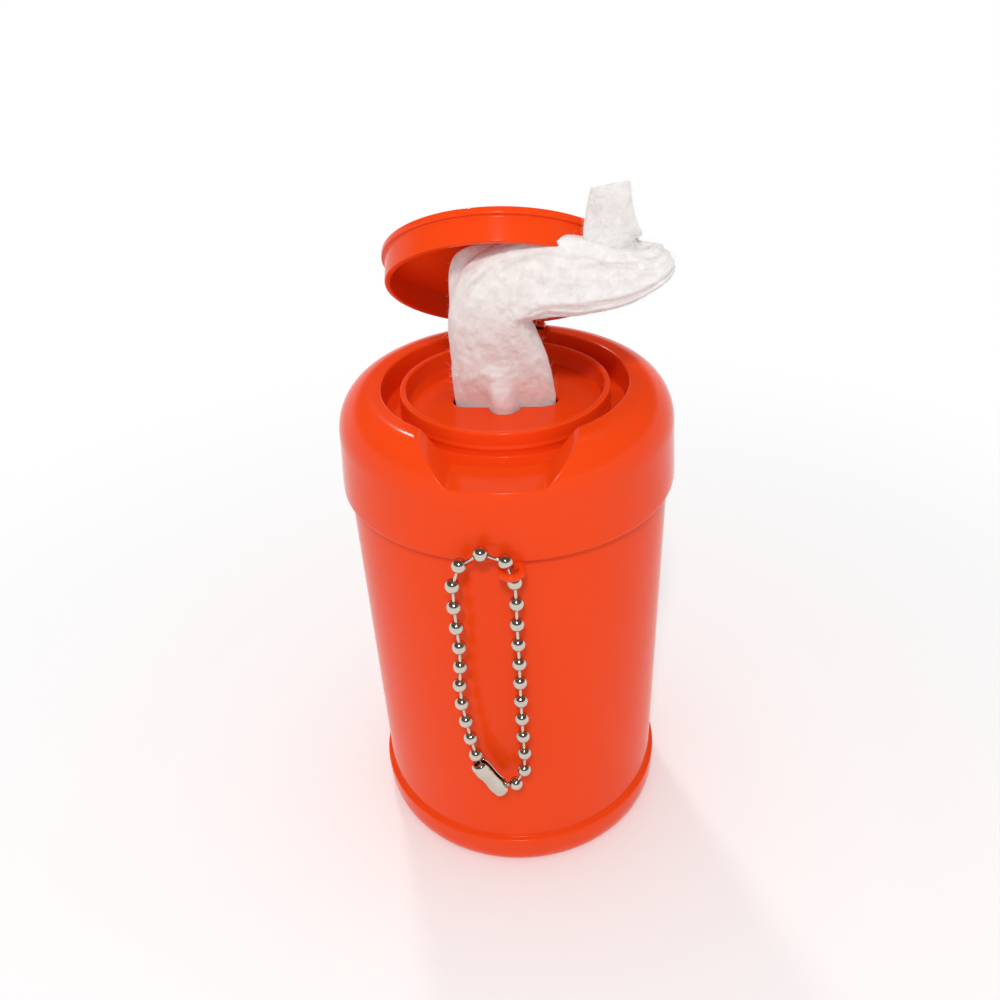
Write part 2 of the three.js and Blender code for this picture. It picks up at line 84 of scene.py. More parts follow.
# Counts and sizes of the chain, whose packed beads give the places
BEADS, SLEEVE_AFTER, BEAD_RADIUS = 27, 13, 1.2
ON_CLOSURE_BEADS, ON_CLOSURE_LINKS = (1, 24, 25, 26, 27), (24, 25, 26, 27)
DIMPLE, DIMPLE_INSIDE, DIMPLE_OUTSIDE, DIMPLE_LIP = 0.34, 14, 24, 0.03
LINK_RADIUS, LINK_HEAD, LINK_SHORTER = 0.24, 0.34, 0.87
SLEEVE_RADIUS, SLEEVE_BULGE, SLEEVE_SHEET = 1.46, 0.14, 0.25
SLEEVE_PAST_BEAD, SLEEVE_END, SLEEVE_END_ROUND, SLEEVE_GAP_HALF = 2.1, 0.8, 0.75, 0.4
SLEEVE_ROWS, SLEEVE_COLUMNS = 49, 41

# Sizes of the roll and the sheet
ROLL_TURNS, ROLL_STEPS, ROLL_ROWS, ROLL_INNER, ROLL_OUTER = 15, 64, 9, 5.2, 24.1
ROLL_LOW, ROLL_HIGH, ROLL_SHEET = 1.95, 59.8, 0.5
SHEET_COLUMNS, SHEET_ROWS, SHEET_THICK = 132, 310, 0.30
FOLD, CREASE, LINT, TONGUE, TONGUE_HALF, EAR = 0.42, 0.26, 0.12, 2.9, 1.9, 2.6
FIBRE_COUNT, FIBRE_JOINTS, FIBRE_LONG, FIBRE_THICK = 4200, 5, (0.35, 1.1), (0.018, 0.03)

# Points round what is turned, and the stage
AROUND = 200
FLOOR_SIZE, LAMP_AIM = 3, (0, 0, 0.06)
CAMERA_PLACE, CAMERA_LENS = (10.77, -144.76, 158.36), 34.9
CAMERA_PAN, CAMERA_TILT, CAMERA_LEAN = -4.945, 32.882, -2.896


# Meshes
def hold(name, mesh, material):
    """An object for a mesh, smooth, in its material's slot."""
    mesh.polygons.foreach_set("use_smooth", [True] * len(mesh.polygons))
    mesh.materials.append(material)
    obj = bpy.data.objects.new(name, mesh)
    bpy.context.collection.objects.link(obj)
    return obj


def put(name, points, faces, material, slot):
    """A mesh object from points in millimetres."""
    mesh = bpy.data.meshes.new(name)
    mesh.from_pydata([tuple(c * MM for c in p) for p in points], [], faces)
    tidy = bmesh.new()
    tidy.from_mesh(mesh)
    bmesh.ops.remove_doubles(tidy, verts=tidy.verts, dist=1e-6)
    bmesh.ops.recalc_face_normals(tidy, faces=tidy.faces)
    tidy.to_mesh(mesh)
    tidy.free()
    return hold(name, mesh, material)


def block(name, x_half, y_range, z_range, bevel, segments):
    """A box of plastic across the middle line, its edges rounded."""
    corners = [(-x_half, y_range[0]), (x_half, y_range[0]), (x_half, y_range[1]), (-x_half, y_range[1])]
    obj = put(
        name,
        [(x, y, z) for z in z_range for x, y in corners],
        [(3, 2, 1, 0), (4, 5, 6, 7), (0, 1, 5, 4), (1, 2, 6, 5), (2, 3, 7, 6), (3, 0, 4, 7)],
        PLASTIC,
        "plastic",
    )
    edge = obj.modifiers.new("edge", "BEVEL")
    edge.width, edge.segments = bevel * MM, segments
    return settle(obj)


def thickened(obj, thick):
    """A sheet given its thickness, half to each side."""
    solid = obj.modifiers.new("thick", "SOLIDIFY")
    solid.thickness, solid.offset = thick * MM, 0.0
    settle(obj)


def join(name, *objs):
    """Several objects as one."""
    bpy.ops.object.select_all(action="DESELECT")
    for obj in objs:
        obj.select_set(True)
    bpy.context.view_layer.objects.active = objs[0]
    bpy.ops.object.join()
    objs[0].name = name
    return objs[0]


def settle(obj):
    """The object with its modifiers applied."""
    bpy.context.view_layer.objects.active = obj
    for modifier in list(obj.modifiers):
        bpy.ops.object.modifier_apply(modifier=modifier.name)
    obj.data.polygons.foreach_set("use_smooth", [True] * len(obj.data.polygons))
    return obj


def rounded(corners):
    """An open profile through corners as (radius, height, round), with each but the ends rounded."""
    made = []
    count = len(corners)
    for i, (r, z, size) in enumerate(corners):
        here = np.array([r, z])
        if size <= 0 or i in (0, count - 1):
            made.append((r, z))
            continue
        before = np.array(corners[i - 1][:2]) - here
        after = np.array(corners[i + 1][:2]) - here
        long_before, long_after = np.linalg.norm(before), np.linalg.norm(after)
        before, after = before / long_before, after / long_after
        half = math.acos(max(-1, min(1, float(before @ after)))) / 2
        cut = min(size / math.tan(half), long_before * 0.49, long_after * 0.49)
        start, end = here + before * cut, here + after * cut
        steps = max(3, min(8, int(4 + size * 2)))
        for k in range(steps + 1):
            t = k / steps
            point = (1 - t) ** 2 * start + 2 * t * (1 - t) * here + t * t * end
            made.append((float(point[0]), float(point[1])))
    return made


def grid_faces(rows, columns, wrap_rows, wrap_columns):
    """Quads over rows of points, joined round where a way wraps."""
    faces = []
    for i in range(rows if wrap_rows else rows - 1):
        for k in range(columns if wrap_columns else columns - 1):
            j, m = (i + 1) % rows, (k + 1) % columns
            faces.append((i * columns + k, i * columns + m, j * columns + m, j * columns + k))
    return faces


def turned(profile, around=AROUND):
    """Points and faces of a profile of (radius, height) turned about +Z; radius 0 closes it."""
    points = []
    for r, z in profile:
        for k in range(around):
            angle = 2 * math.pi * k / around
            points.append((r * math.cos(angle), r * math.sin(angle), z))
    return points, grid_faces(len(profile), around, False, True)


def smooth_min(a, b, k):
    """The smaller of two values, blended over k where they meet."""
    if k <= 1e-6:
        return min(a, b)
    h = max(k - abs(a - b), 0.0) / k
    return min(a, b) - h * h * k / 4


def step(low, high, x):
    """0 below low, 1 above high and a soft slope between them."""
    t = min(1.0, max(0.0, (x - low) / (high - low)))
    return t * t * (3 - 2 * t)


# Materials
def material(name):
    """A new material with its nodes, links and shader."""
    made = bpy.data.materials.new(name)
    made.use_nodes = True
    return made, made.node_tree.nodes, made.node_tree.links, made.node_tree.nodes["Principled BSDF"]


def node(nodes, kind, **values):
    made = nodes.new(kind)
    for key, value in values.items():
        made.inputs[key.replace("_", " ")].default_value = value
    return made


def uneven_gloss(nodes, links, shader, scale, detail, low, high):
    """Roughness that drifts between two values, as handling leaves it."""
    place = nodes.new("ShaderNodeTexCoord")
    smudge = node(nodes, "ShaderNodeTexNoise", Scale=scale, Detail=detail)
    links.new(place.outputs["Object"], smudge.inputs["Vector"])
    spread = node(nodes, "ShaderNodeMapRange", To_Min=low, To_Max=high)
    links.new(smudge.outputs["Fac"], spread.inputs["Value"])
    links.new(spread.outputs["Result"], shader.inputs["Roughness"])


def plastic_finish():
    made, nodes, links, shader = material("orange_plastic")
    shader.inputs["Base Color"].default_value = (0.85, 0.060, 0.006, 1)
    shader.inputs["Specular IOR Level"].default_value = 0.20
    shader.inputs["IOR"].default_value = 1.40
    shader.inputs["Subsurface Weight"].default_value = 0.12
    shader.inputs["Subsurface Radius"].default_value = (1.0, 0.25, 0.08)
    shader.inputs["Subsurface Scale"].default_value = 0.0012
    uneven_gloss(nodes, links, shader, 90.0, 4.0, 0.10, 0.20)
    return made


def nickel_finish():
    made, nodes, links, shader = material("nickel_plate")
    shader.inputs["Base Color"].default_value = (0.62, 0.57, 0.49, 1)
    shader.inputs["Metallic"].default_value = 1.0
    uneven_gloss(nodes, links, shader, 700.0, 3.0, 0.08, 0.20)
    return made


def wipe_finish():
    made, nodes, links, shader = material("nonwoven_fabric")
    shader.inputs["Roughness"].default_value = 0.95
    shader.inputs["Subsurface Weight"].default_value = 0.12
    shader.inputs["Subsurface Radius"].default_value = (1.0, 0.75, 0.65)
    shader.inputs["Subsurface Scale"].default_value = 0.0006
    shader.inputs["Sheen Weight"].default_value = 0.4
    place = nodes.new("ShaderNodeTexCoord")
    stretch = node(nodes, "ShaderNodeMapping")
    stretch.inputs["Scale"].default_value = (1.0, 1.0, 0.35)
    links.new(place.outputs["Object"], stretch.inputs["Vector"])
    fibres = node(nodes, "ShaderNodeTexNoise", Scale=2600.0, Detail=6.0, Distortion=2.5)
    links.new(stretch.outputs["Vector"], fibres.inputs["Vector"])
    clumps = node(nodes, "ShaderNodeTexNoise", Scale=620.0, Detail=3.0, Distortion=0.8)
    links.new(place.outputs["Object"], clumps.inputs["Vector"])
    both = nodes.new("ShaderNodeMath")
    both.operation = "ADD"
    links.new(fibres.outputs["Fac"], both.inputs[0])
    links.new(clumps.outputs["Fac"], both.inputs[1])
    bump = node(nodes, "ShaderNodeBump", Strength=0.45, Distance=0.0003)
    links.new(both.outputs["Value"], bump.inputs["Height"])
    links.new(bump.outputs["Normal"], shader.inputs["Normal"])
    tint = node(nodes, "ShaderNodeValToRGB")
    tint.color_ramp.elements[0].position = 0.30
    tint.color_ramp.elements[0].color = (0.78, 0.735, 0.71, 1)
    tint.color_ramp.elements[1].position = 0.62
    tint.color_ramp.elements[1].color = (0.88, 0.85, 0.83, 1)
    links.new(clumps.outputs["Fac"], tint.inputs["Fac"])
    links.new(tint.outputs["Color"], shader.inputs["Base Color"])
    return made


PLASTIC, NICKEL, FABRIC = plastic_finish(), nickel_finish(), wipe_finish()


# Cup
def cup():
    inner = CUP_LOW - CUP_WALL
    foot = [
        (FOOT_RADIUS - FOOT_ROUND * (1 - math.sin(a)), FOOT_ROUND_HIGH * (1 - math.cos(a)))
        for a in np.linspace(0, math.pi / 2, 14)
    ]
    profile = [(0, BASE_RECESS), (21, BASE_RECESS), (22, BASE_RECESS / 2), (23.4, 0.0)] + foot
    profile += rounded(
        [
            (FOOT_RADIUS, 5.0, 0),
            (FOOT_RADIUS, FOOT_TOP + 0.15, 0.35),
            (CUP_LOW, FOOT_TOP + 0.45, 0.25),
            (CUP_HIGH, LEDGE_Z, 0.4),
            (NECK_RADIUS, LEDGE_Z, 0.2),
            (NECK_RADIUS, RIDGE_Z - 0.8, 0.3),
            (NECK_RADIUS + RIDGE, RIDGE_Z, 0.3),
            (NECK_RADIUS, RIDGE_Z + 1.0, 0.3),
            (NECK_RADIUS, NECK_TOP, 0.4),
            (NECK_RADIUS - CUP_WALL, NECK_TOP, 0.4),
            (NECK_RADIUS - CUP_WALL, LEDGE_Z - 1.3, 0.5),
            (CUP_HIGH - CUP_WALL, LEDGE_Z - 2.6, 0.5),
            (inner, FOOT_TOP, 0),
            (inner, CUP_FLOOR, 1.5),
            (0, CUP_FLOOR, 0),
        ]
    )
    obj = put("cup_body", *turned(profile), PLASTIC, "plastic")
    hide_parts("canister_cup")
    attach(obj, "canister")


# Closure
def slit_radius(angle):
    """How far the slit's outline is from the centre: a wide slot and a short one across it."""
    def slot(c, s, half, width):
        reach = half - width
        c, s = abs(c), abs(s)
        if s > 1e-9 and width / s * c <= reach:
            return width / s
        return reach * c + math.sqrt(max(width * width - (reach * s) ** 2, 0))
    c, s = math.cos(angle), math.sin(angle)
    return max(slot(c, s, SLIT_HALF, SLIT_HALF_WIDTH), slot(s, c, CROSS_HALF, CROSS_HALF_WIDTH))


def notch_height(x, grow):
    """How high the closure may stand in the thumb notch: a flat floor with sloped sides."""
    side = MOAT_Z + max(0.0, abs(x) - NOTCH_HALF) * NOTCH_SLOPE
    return -smooth_min(-side, -MOAT_Z, NOTCH_SOFT) - grow


def saddle_height(x, grow):
    """How high the closure may stand beside the hinge's land."""
    return LAND_Z - grow + max(0.0, abs(x) - LAND_HALF - grow) * SADDLE_SLOPE


def closure_angles():
    """Angles round the closure, closer together at the notch in front and at the land behind."""
    angles, at = [], -128.0
    while at < 232.0 - 1e-6:
        angles.append(math.radians(at))
        at += 0.4 if at < -52 else 0.5 if 72 <= at < 108 else 2.0
    return angles


def shoulder_arc(inset, angles):
    """The shoulder's quarter ellipse, inset from the outside."""
    wide, high = SHOULDER_WIDE - inset, SHOULDER_HIGH - inset
    return [(CREST_RADIUS + wide * math.cos(a), SHOULDER_Z + high * math.sin(a)) for a in angles]


def closure_rows():
    """The closure's section as (kind, (radius, height)): outside, then the slit's lip, then underneath."""
    outer = rounded(
        [
            (SKIRT_RADIUS - WALL, SKIRT_Z, 0.0),
            (SKIRT_RADIUS + SKIRT_FLARE, SKIRT_Z, 0.35),
            (SKIRT_RADIUS + SKIRT_FLARE - 0.02, SKIRT_Z + 1.0, 0.0),
            (SKIRT_RADIUS + 0.3, SKIRT_Z + 4.2, 0.0),
            (SKIRT_RADIUS + 0.1, SKIRT_Z + 7.4, 0.0),
        ]
    )
    outer += shoulder_arc(0.0, np.linspace(0, math.pi / 2, 30))
    outer += [(CREST_RADIUS - 0.3, CREST_Z), (CREST_RADIUS - 0.7, CREST_Z)]
    outer += rounded(
        [
            (CREST_RADIUS - 1.0, CREST_Z, 0),
            (MOAT_RADIUS + 0.1, CREST_Z, 0.55),
            (MOAT_RADIUS, MOAT_Z, 0.4),
            (COLLAR_OUTER, MOAT_Z, 0.35),
            (COLLAR_OUTER, MOAT_Z + 0.95, 0.12),
            (COLLAR_OUTER + COLLAR_RIDGE, MOAT_Z + 1.5, 0.12),
            (COLLAR_OUTER, MOAT_Z + 2.05, 0.12),
            (COLLAR_OUTER, COLLAR_Z, 0.32),
            (COLLAR_INNER, COLLAR_Z, 0.32),
            (COLLAR_INNER - 0.35, PANEL_Z, 0.6),
            (PANEL_FLAT_RADIUS, PANEL_Z, 0),
        ]
    )
    lip = [(0.9, 0.0), (0.55, 0.0), (0.3, -0.02), (0.12, -0.1), (0.02, -0.25), (0.0, -0.5), (0.0, -1.2)]
    under = [
        (PANEL_FLAT_RADIUS, PANEL_Z - WALL),
        (COLLAR_INNER - WALL, PANEL_Z - WALL),
        (COLLAR_OUTER, MOAT_Z - WALL),
        (MOAT_RADIUS + WALL, MOAT_Z - WALL),
        (MOAT_RADIUS + WALL, CREST_Z - WALL),
    ]
    under += shoulder_arc(WALL, np.linspace(math.pi / 2, 0, 14))
    under += [(SKIRT_RADIUS - WALL, SKIRT_Z + 5.5), (SKIRT_RADIUS - WALL - 0.15, SKIRT_Z + 3.0)]
    kinds = (("outer", outer), ("lip", lip), ("under", under))
    return [(kind, place) for kind, places in kinds for place in places]


def closure_shell():
    """The closure as one grid, cut down at the notch and at the land."""
    angles, rows, points = closure_angles(), closure_rows(), []
    for kind, (r, z) in rows:
        for angle in angles:
            c, s = math.cos(angle), math.sin(angle)
            radius, height = r, z
            if kind == "lip":
                radius, height = slit_radius(angle) + r, PANEL_Z + z
            x, y = radius * c, radius * s
            grow = WALL if kind == "under" else 0.0
            if radius > COLLAR_OUTER + 0.4 + grow and height > MOAT_Z - grow:
                if y < -10:
                    limit = notch_height(x, grow)
                    height = smooth_min(height, limit, min(0.45, max(0.0, height - MOAT_Z + grow)))
                elif y > 10:
                    height = smooth_min(height, saddle_height(x, grow), 0.0 if kind == "under" else 0.25)
            points.append((x, y, height))
    return put("closure_body", points, grid_faces(len(rows), len(angles), True, True), PLASTIC, "plastic")


def lug():
    """The ear that the chain goes through, round in front and straight towards the skirt."""
    count, points = 48, []
    low, high, soft = LUG_Z - LUG_HALF, LUG_Z + LUG_HALF, LUG_SOFT
    rings = [
        ("outline", -soft, low),
        ("outline", 0, low + soft),
        ("outline", 0, high - soft),
        ("outline", -soft, high),
        ("hole", soft, high),
        ("hole", 0, high - soft),
        ("hole", 0, low + soft),
        ("hole", soft, low),
    ]
    for kind, out, z in rings:
        for k in range(count):
            c, s = math.cos(2 * math.pi * k / count), math.sin(2 * math.pi * k / count)
            radius = LUG_RADIUS if kind == "outline" else LUG_HOLE
            back = radius * s
            if kind == "outline" and s > 0:
                back = min(LUG_ROOT, LUG_ROOT_SLOPE * s)
            points.append((LUG_X + radius * c + out * c, CHAIN_Y + back + out * s, z))
    return put("lug", points, grid_faces(len(rings), count, True, True), PLASTIC, "plastic")


def closure():
    body = closure_shell()
    land = block("hinge_land", LAND_HALF, (LAND_FRONT, LAND_BACK), (SHOULDER_Z + 1, LAND_Z), 0.4, 4)
    obj = join("closure_body", body, land, lug())
    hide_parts("closure")
    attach(obj, "closure")


# Lid
def lid():
    profile = rounded(
        [
            (0, LID_UNDER, 0),
            (LID_SKIRT_INNER, LID_UNDER, 0.3),
            (LID_SKIRT_INNER, LID_SKIRT_Z, 0.2),
            (LID_SKIRT_OUTER, LID_SKIRT_Z, 0.2),
            (LID_SKIRT_OUTER, LID_UNDER, 0.25),
            (LID_RADIUS, LID_UNDER + 0.05, 0.25),
            (LID_RADIUS, LID_TOP, 0.4),
            (0, LID_TOP, 0),
        ]
    )
    plate = put("lid_plate", *turned(profile), PLASTIC, "plastic")
    strap = block("lid_strap", STRAP_HALF, (STRAP_FRONT, STRAP_BACK), (HINGE_Z, STRAP_TOP), 0.3, 3)
    web_end = [(0, -STRAP_HALF), (0.2, -STRAP_HALF), (WEB_RADIUS, 0.15 - STRAP_HALF)]
    web_points, web_faces = turned(web_end + [(r, -z) for r, z in reversed(web_end)], 24)
    web_points = [(HINGE_X + z, HINGE_Y + x, HINGE_Z + y) for x, y, z in web_points]
    web = put("hinge_web", web_points, web_faces, PLASTIC, "plastic")
    obj = join("lid_body", plate, strap, web)
    hinge = Vector((HINGE_X, HINGE_Y, HINGE_Z)) * MM
    turn = Matrix.Translation(hinge) @ Matrix.Rotation(-LID_OPEN, 4, "X") @ Matrix.Translation(-hinge)
    obj.data.transform(turn)
    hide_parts("flip_lid")
    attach(obj, "lid")


# Chain
def bead_centre(number):
    """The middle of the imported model's bead."""
    low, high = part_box(f"chain_bead_{number:02d}")
    return (low + high) / 2 / MM


def body_for(kind, number):
    """The body of a bead or link: the arch through the lug stays on the closure."""
    own = ON_CLOSURE_BEADS if kind == "bead" else ON_CLOSURE_LINKS
    return "closure" if number in own else "chain"


def bead(number, centres):
    """A ball with a dimple at each link; the three beads at the sleeve are finer."""
    centre = centres[number]
    before = centres[BEADS if number == 1 else number - 1]
    after = centres[1 if number == BEADS else number + 1]
    ways = [(before - centre).normalized(), (after - centre).normalized()]
    made = bmesh.new()
    bmesh.ops.create_icosphere(made, subdivisions=5 if number in (12, 13, 14) else 4, radius=1.0)
    for vertex in made.verts:
        direction = vertex.co.normalized()
        radius = BEAD_RADIUS
        for way in ways:
            off = math.degrees(direction.angle(way))
            radius -= DIMPLE * (1 - step(DIMPLE_INSIDE, DIMPLE_OUTSIDE, off))
            radius += DIMPLE_LIP * math.exp(-((off - DIMPLE_OUTSIDE - 2) / 5) ** 2)
        vertex.co = (centre + direction * radius) * MM
    mesh = bpy.data.meshes.new("bead")
    made.to_mesh(mesh)
    made.free()
    obj = hold(f"bead_{number:02d}", mesh, NICKEL)
    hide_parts(f"chain_bead_{number:02d}")
    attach(obj, body_for("bead", number))


def along(start, end):
    """A matrix that takes +Z onto the way from start to end, centred between them."""
    way = (end - start).normalized()
    turn = way.to_track_quat("Z", "Y").to_matrix().to_4x4()
    return Matrix.Translation((start + end) / 2) @ turn


def link(number, centres):
    """A bar with a head inside each of its two beads."""
    start, end = centres[number], centres[number % BEADS + 1]
    half = (end - start).length / 2 - LINK_SHORTER
    profile = [(0, -half), (0.26, -half), (LINK_HEAD, -half + 0.06), (LINK_HEAD, -half + 0.16)]
    profile += [(LINK_RADIUS, -half + 0.34)]
    profile += [(r, -z) for r, z in reversed(profile)]
    points, faces = turned(profile, 20)
    place = along(start, end)
    points = [place @ Vector(p) for p in points]
    obj = put(f"link_{number:02d}", points, faces, NICKEL, "nickel")
    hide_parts(f"chain_link_{number:02d}")
    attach(obj, body_for("link", number))


def connector(centres):
    """The stamped sleeve: a split tube with domed ends that bulges over its two beads."""
    first, second, before = centres[SLEEVE_AFTER], centres[SLEEVE_AFTER + 1], centres[SLEEVE_AFTER - 1]
    way = (second - first).normalized()
    side = before - first
    side = (side - way * side.dot(way)).normalized()
    across = way.cross(side)
    middle = (first + second) / 2
    apart = (second - first).length / 2
    reach = apart + SLEEVE_PAST_BEAD
    rows = []
    for outer in (True, False):
        thick = 0.0 if outer else SLEEVE_SHEET
        row = []
        for t in np.linspace(-1, 1, SLEEVE_ROWS):
            s = t * (reach - thick)
            radius = SLEEVE_RADIUS + SLEEVE_BULGE * math.exp(-((abs(s) - apart) / 1.1) ** 2)
            end = max(0.0, abs(s) - (reach - thick - SLEEVE_END_ROUND)) / SLEEVE_END_ROUND
            radius = SLEEVE_END + (radius - SLEEVE_END) * math.sqrt(max(0.0, 1 - end * end)) - thick
            row.append((s, max(radius, 0.55)))
        rows += row if outer else row[::-1]
    columns, points = SLEEVE_COLUMNS, []
    for s, radius in rows:
        gap = math.asin(min(SLEEVE_GAP_HALF / radius, 0.9))
        for k in range(columns):
            angle = gap + (2 * math.pi - 2 * gap) * k / (columns - 1)
            ring = side * (radius * math.cos(angle)) + across * (radius * math.sin(angle))
            points.append(middle + way * s + ring)
    faces = grid_faces(len(rows), columns, True, False)
    count = len(rows) // 2
    for column in (0, columns - 1):
        for i in range(count - 1):
            corners = (i, i + 1, len(rows) - 2 - i, len(rows) - 1 - i)
            faces.append(tuple(row * columns + column for row in corners))
    obj = put("connector_sleeve", points, faces, NICKEL, "nickel")
    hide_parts("chain_connector")
    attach(obj, "chain")


def chain():
    centres = {n: bead_centre(n) for n in range(1, BEADS + 1)}
    for number in range(1, BEADS + 1):
        bead(number, centres)
        if number != SLEEVE_AFTER:
            link(number, centres)
    connector(centres)


# Wipe
def spline(stops, t):
    """A smooth value through evenly spaced stops at t from 0 to 1."""
    at = t * (len(stops) - 1)
    i = min(int(at), len(stops) - 2)
    f = at - i
    p = [np.array(stops[min(max(k, 0), len(stops) - 1)], float) for k in (i - 1, i, i + 1, i + 2)]
    return 0.5 * (
        2 * p[1] + (p[2] - p[0]) * f + (2 * p[0] - 5 * p[1] + 4 * p[2] - p[3]) * f * f
        + (3 * p[1] - p[0] - 3 * p[2] + p[3]) * f ** 3
    )


# Stops along the sheet: centre x, y, z, half width, half depth, tilt of the width, turn of the depth
SHEET_STOPS = [
    (0.0, 0.0, 82.4, 8.0, 1.8, 0, 0),
    (0.0, -0.1, 85.0, 8.3, 2.1, 0, 0),
    (-0.4, -0.4, 89.0, 8.1, 3.0, 0, 0),
    (-0.8, -1.1, 93.8, 7.3, 3.6, -2, 0),
    (-1.4, -2.6, 99.4, 6.6, 3.8, -10, 0),
    (0.0, -4.2, 104.8, 6.4, 3.5, -46, 0),
    (5.8, -5.4, 107.6, 6.4, 3.2, -80, 0),
    (12.2, -6.2, 107.7, 5.7, 3.0, -92, 0),
    (18.4, -7.0, 107.9, 4.3, 2.4, -78, 0),
    (23.0, -7.4, 109.4, 2.9, 1.8, -64, 25),
    (23.8, -6.0, 110.0, 2.4, 1.1, -62, 95),
    (21.0, -5.2, 109.6, 3.2, 1.1, -80, 165),
    (17.4, -5.6, 111.2, 4.7, 0.9, -142, 180),
    (16.7, -6.6, 114.6, 3.9, 0.7, -172, 180),
    (16.4, -7.6, 118.2, 3.1, 0.5, -176, 180),
    (16.4, -8.4, 121.6, 2.6, 0.2, -170, 180),
]


def ridged(x, y, z):
    """Noise that comes to a sharp ridge, as a fold does."""
    return 1 - 2.2 * abs(noise.noise(Vector((x, y, z))))


def sheet_point(u, v):
    """A point of the sheet, which is rolled round into a soft flat tube, its two edges lapped."""
    x, y, z, wide, deep, tilt, turn = spline(SHEET_STOPS, v)
    wide, deep = max(wide, 0.8), max(deep, 0.16)
    tilt, turn = math.radians(tilt), math.radians(turn)
    across = np.array([math.cos(tilt), 0.0, math.sin(tilt)])
    ahead = np.array([-math.sin(tilt), 0.0, math.cos(tilt)])
    out = np.array([0.0, math.cos(turn), 0.0]) - ahead * math.sin(turn)
    angle = (u - 0.5) * 2 * math.pi * 1.07 + math.pi * step(0.60, 0.74, v)
    c, s = math.cos(angle), math.sin(angle)
    lap = step(0.93, 1.0, u)
    free = step(0.05, 0.16, v) * (1 - 0.8 * step(0.84, 1.0, v))
    broad = noise.noise(Vector((1.3 * c + 3, 1.3 * s, v * 6.0)))
    fold = ridged(1.5 * c, 1.5 * s + 5, v * 3.4 + 0.25 * s)
    crease = ridged(2.6 * c + 9, 2.6 * s, v * 15.0)
    crimp = noise.noise(Vector((4.5 * c, 4.5 * s, v * 34.0)))
    lint = noise.noise(Vector((9 * c, 9 * s, v * 80.0)))
    size = 1 - 0.14 * lap + free * (0.16 * broad + 0.035 * crimp)
    flat = math.copysign(abs(s) ** 0.85, s)
    side = wide * flat * (1 - 0.10 * lap + free * (0.09 * broad + 0.02 * crimp))
    near = deep * c * size
    near += free * LINT * lint
    ridges = FOLD * fold + CREASE * crease * (1 - 0.6 * step(0.4, 0.55, v))
    near += free * ridges * (1 if c > 0 else -1) * min(1, abs(c) * 3)
    tongue = math.exp(-((side + 0.1) / TONGUE_HALF) ** 4) * (1 - step(0.07, 0.20, v))
    near += TONGUE * tongue * step(-0.2, 0.6, c)
    ear = math.exp(-((v - 0.325) / 0.035) ** 2) * math.exp(-((s + 0.8) / 0.3) ** 2) * step(0.0, -0.4, c)
    side -= EAR * ear
    return np.array([x, y, z]) + across * side - out * near


def fibres(grid, count):
    """Loose fibres that stand off the sheet, as thin curved threads."""
    rng = np.random.default_rng(7)
    rows, columns = grid.shape[:2]
    centre = grid.mean(axis=1)
    points, faces = [], []
    for _ in range(count):
        i = int(rng.integers(int(rows * 0.09), rows - 2))
        k = int(rng.integers(1, columns - 2))
        root = grid[i, k]
        out = np.cross(grid[i + 1, k] - root, grid[i, k + 1] - root)
        out /= np.linalg.norm(out) + 1e-9
        if out @ (root - centre[i]) < 0:
            out = -out
        flow = rng.normal(size=3)
        flow /= np.linalg.norm(flow)
        curl = rng.normal(size=3)
        curl /= np.linalg.norm(curl)
        long = float(rng.uniform(*FIBRE_LONG))
        lift = float(rng.uniform(0.2, 0.8))
        thick = float(rng.uniform(*FIBRE_THICK))
        base = len(points)
        for j in range(FIBRE_JOINTS):
            t = j / (FIBRE_JOINTS - 1)
            at = root - out * 0.1 + long * (t * (flow * 0.8 + out * lift) + t * t * curl * 0.45)
            size = thick * (1 - 0.6 * t)
            for n in range(3):
                a = 2 * math.pi * n / 3
                points.append(tuple(at + size * (math.cos(a) * out + math.sin(a) * np.cross(out, flow))))
        for j in range(FIBRE_JOINTS - 1):
            for n in range(3):
                a, b = base + 3 * j + n, base + 3 * j + (n + 1) % 3
                faces.append((a, b, b + 3, a + 3))
        last = len(points) - 3
        faces += [(base + 2, base + 1, base), (last, last + 1, last + 2)]
    return points, faces


def wipe():
    rows, columns, points = SHEET_ROWS, SHEET_COLUMNS, []
    for i in range(rows):
        v = i / (rows - 1)
        for k in range(columns):
            u = k / (columns - 1)
            ragged = 0.006 * noise.noise(Vector((u * 16, 0.3, 1.7))) * max(0.0, (v - 0.9) * 10)
            points.append(tuple(sheet_point(u, min(1.0, v + ragged))))
    grid = np.array(points).reshape(rows, columns, 3)
    obj = put("pulled_wipe", points, grid_faces(rows, columns, False, False), FABRIC, "wipe")
    thickened(obj, SHEET_THICK)
    fuzz = put("wipe_fibres", *fibres(grid, FIBRE_COUNT), FABRIC, "wipe")
    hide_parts("wipe")
    for piece in (obj, fuzz):
        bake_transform(piece)


# Roll
def roll():
    """The wipes wound into a spiral with slightly uneven gaps."""
    rows, steps, points = ROLL_ROWS, ROLL_TURNS * ROLL_STEPS, []
    for j in range(rows):
        height = ROLL_LOW + (ROLL_HIGH - ROLL_LOW) * j / (rows - 1)
        for i in range(steps + 1):
            turn = i / ROLL_STEPS
            angle = 2 * math.pi * turn
            radius = ROLL_INNER + (ROLL_OUTER - ROLL_INNER) * turn / ROLL_TURNS
            sway = 6.283 * turn
            radius += 0.12 * noise.noise(Vector((math.cos(sway) * 2, math.sin(sway) * 2, turn * 0.8)))
            points.append((radius * math.cos(angle), radius * math.sin(angle), height))
    obj = put("rolled_wipes", points, grid_faces(rows, steps + 1, False, False), FABRIC, "wipe")
    thickened(obj, ROLL_SHEET)
    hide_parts("wipes_roll")
    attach(obj, "canister")


cup()
closure()
lid()
chain()
wipe()
roll()


